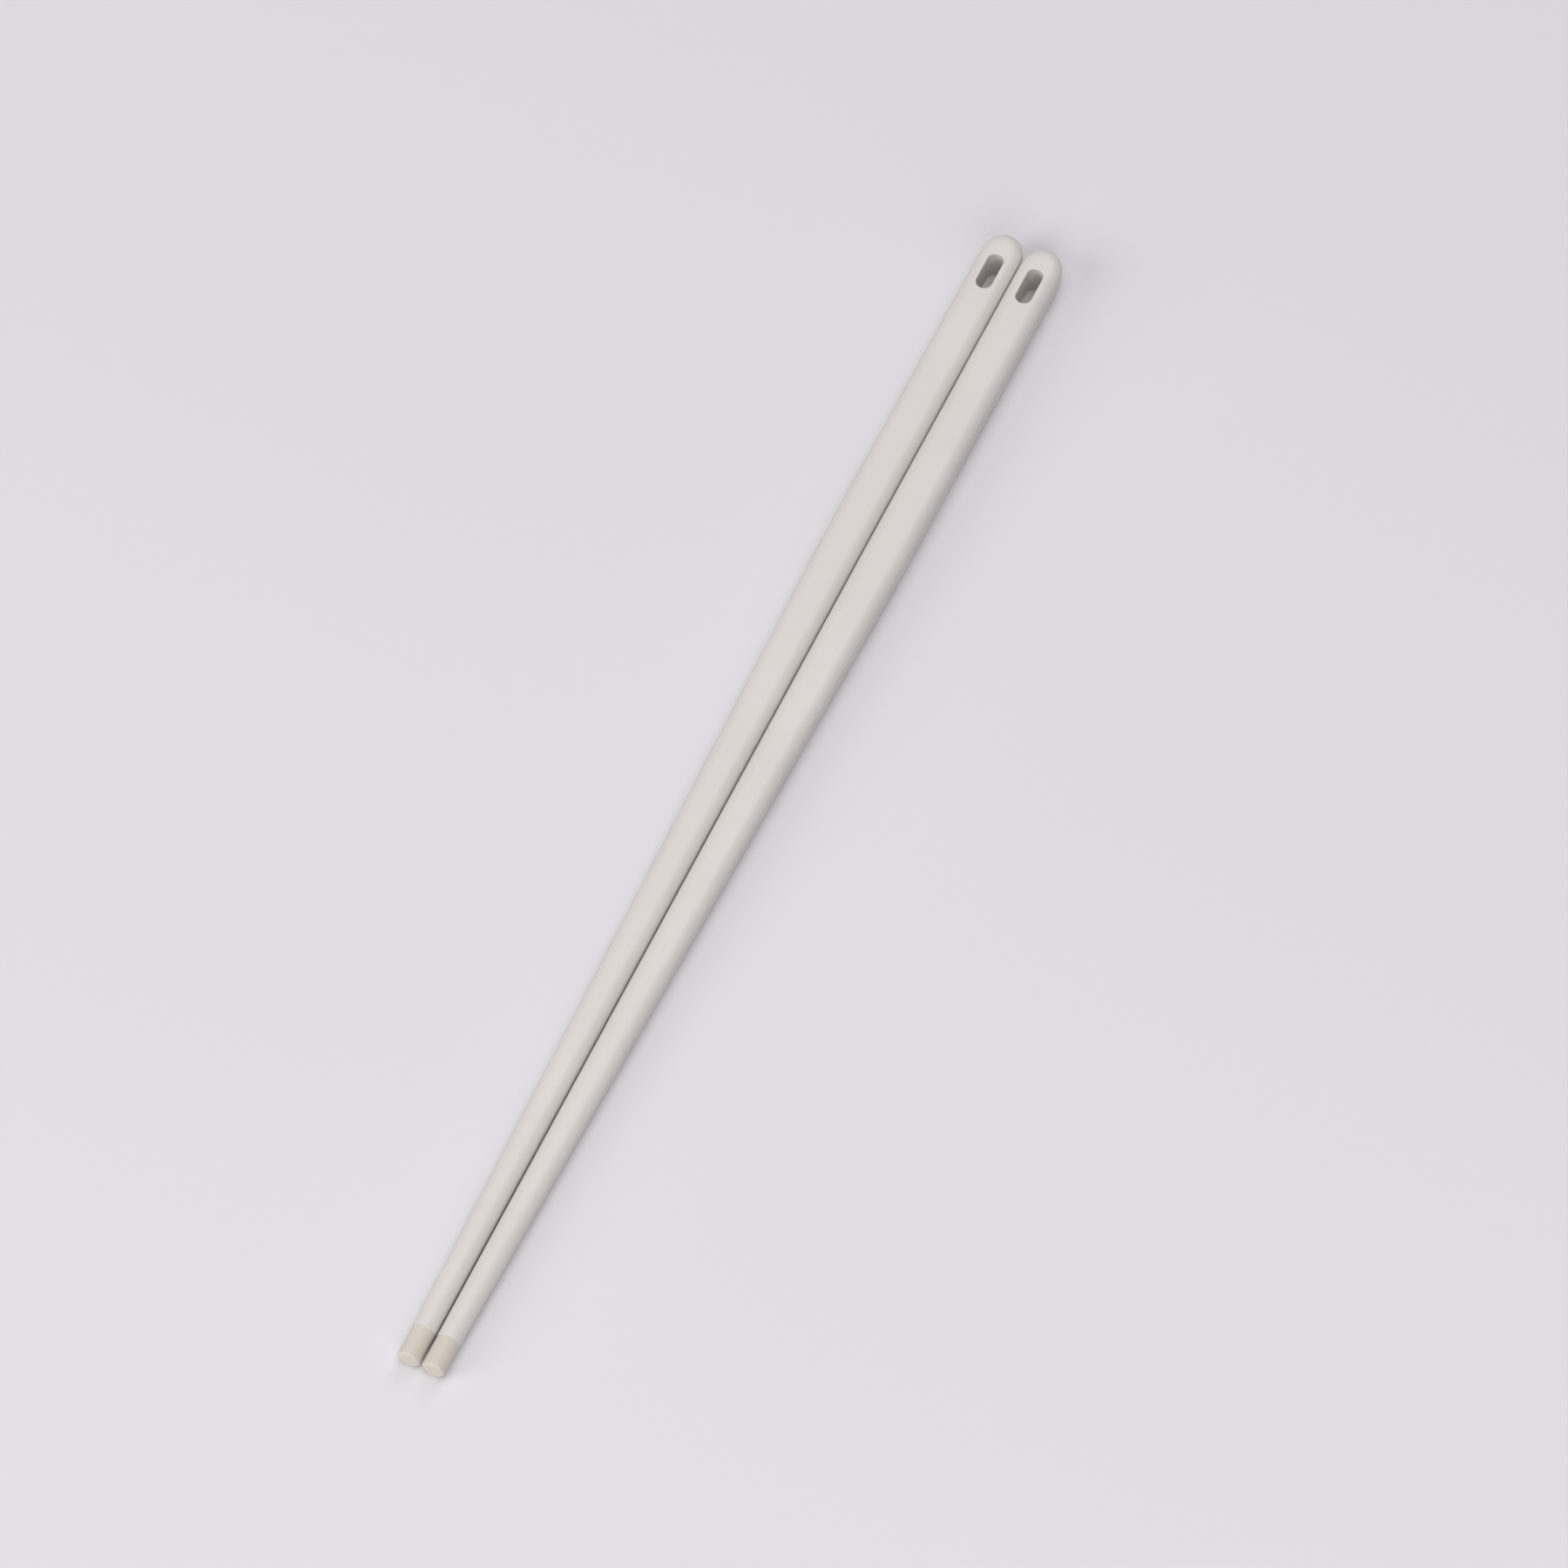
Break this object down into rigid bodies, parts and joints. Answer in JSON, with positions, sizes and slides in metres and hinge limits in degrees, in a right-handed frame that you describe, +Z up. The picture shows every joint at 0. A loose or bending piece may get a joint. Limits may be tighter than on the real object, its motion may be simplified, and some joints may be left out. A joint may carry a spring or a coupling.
{
  "type": "cooking chopsticks",
  "caption": "Pair of long moulded cooking chopsticks lying side by side, with rounded-square tapered sticks, a hanging slot in each oval crown and softer darker tips.",
  "frame": {"origin": "middle of the pair's box, on the table that the sticks lie on", "axes": "+Y along the sticks towards their crowns, +Z up from the table, +X across the pair towards the right stick"},
  "size_m": [0.0188, 0.3, 0.008],
  "materials": {
    "stick": "matte, with a very fine moulded texture",
    "tip": "matte and slightly soft, silicone-like"
  },
  "bodies": {
    "root": {"left_stick": "stick", "left_tip": "tip", "right_stick": "stick", "right_tip": "tip"}
  },
  "joints": []
}
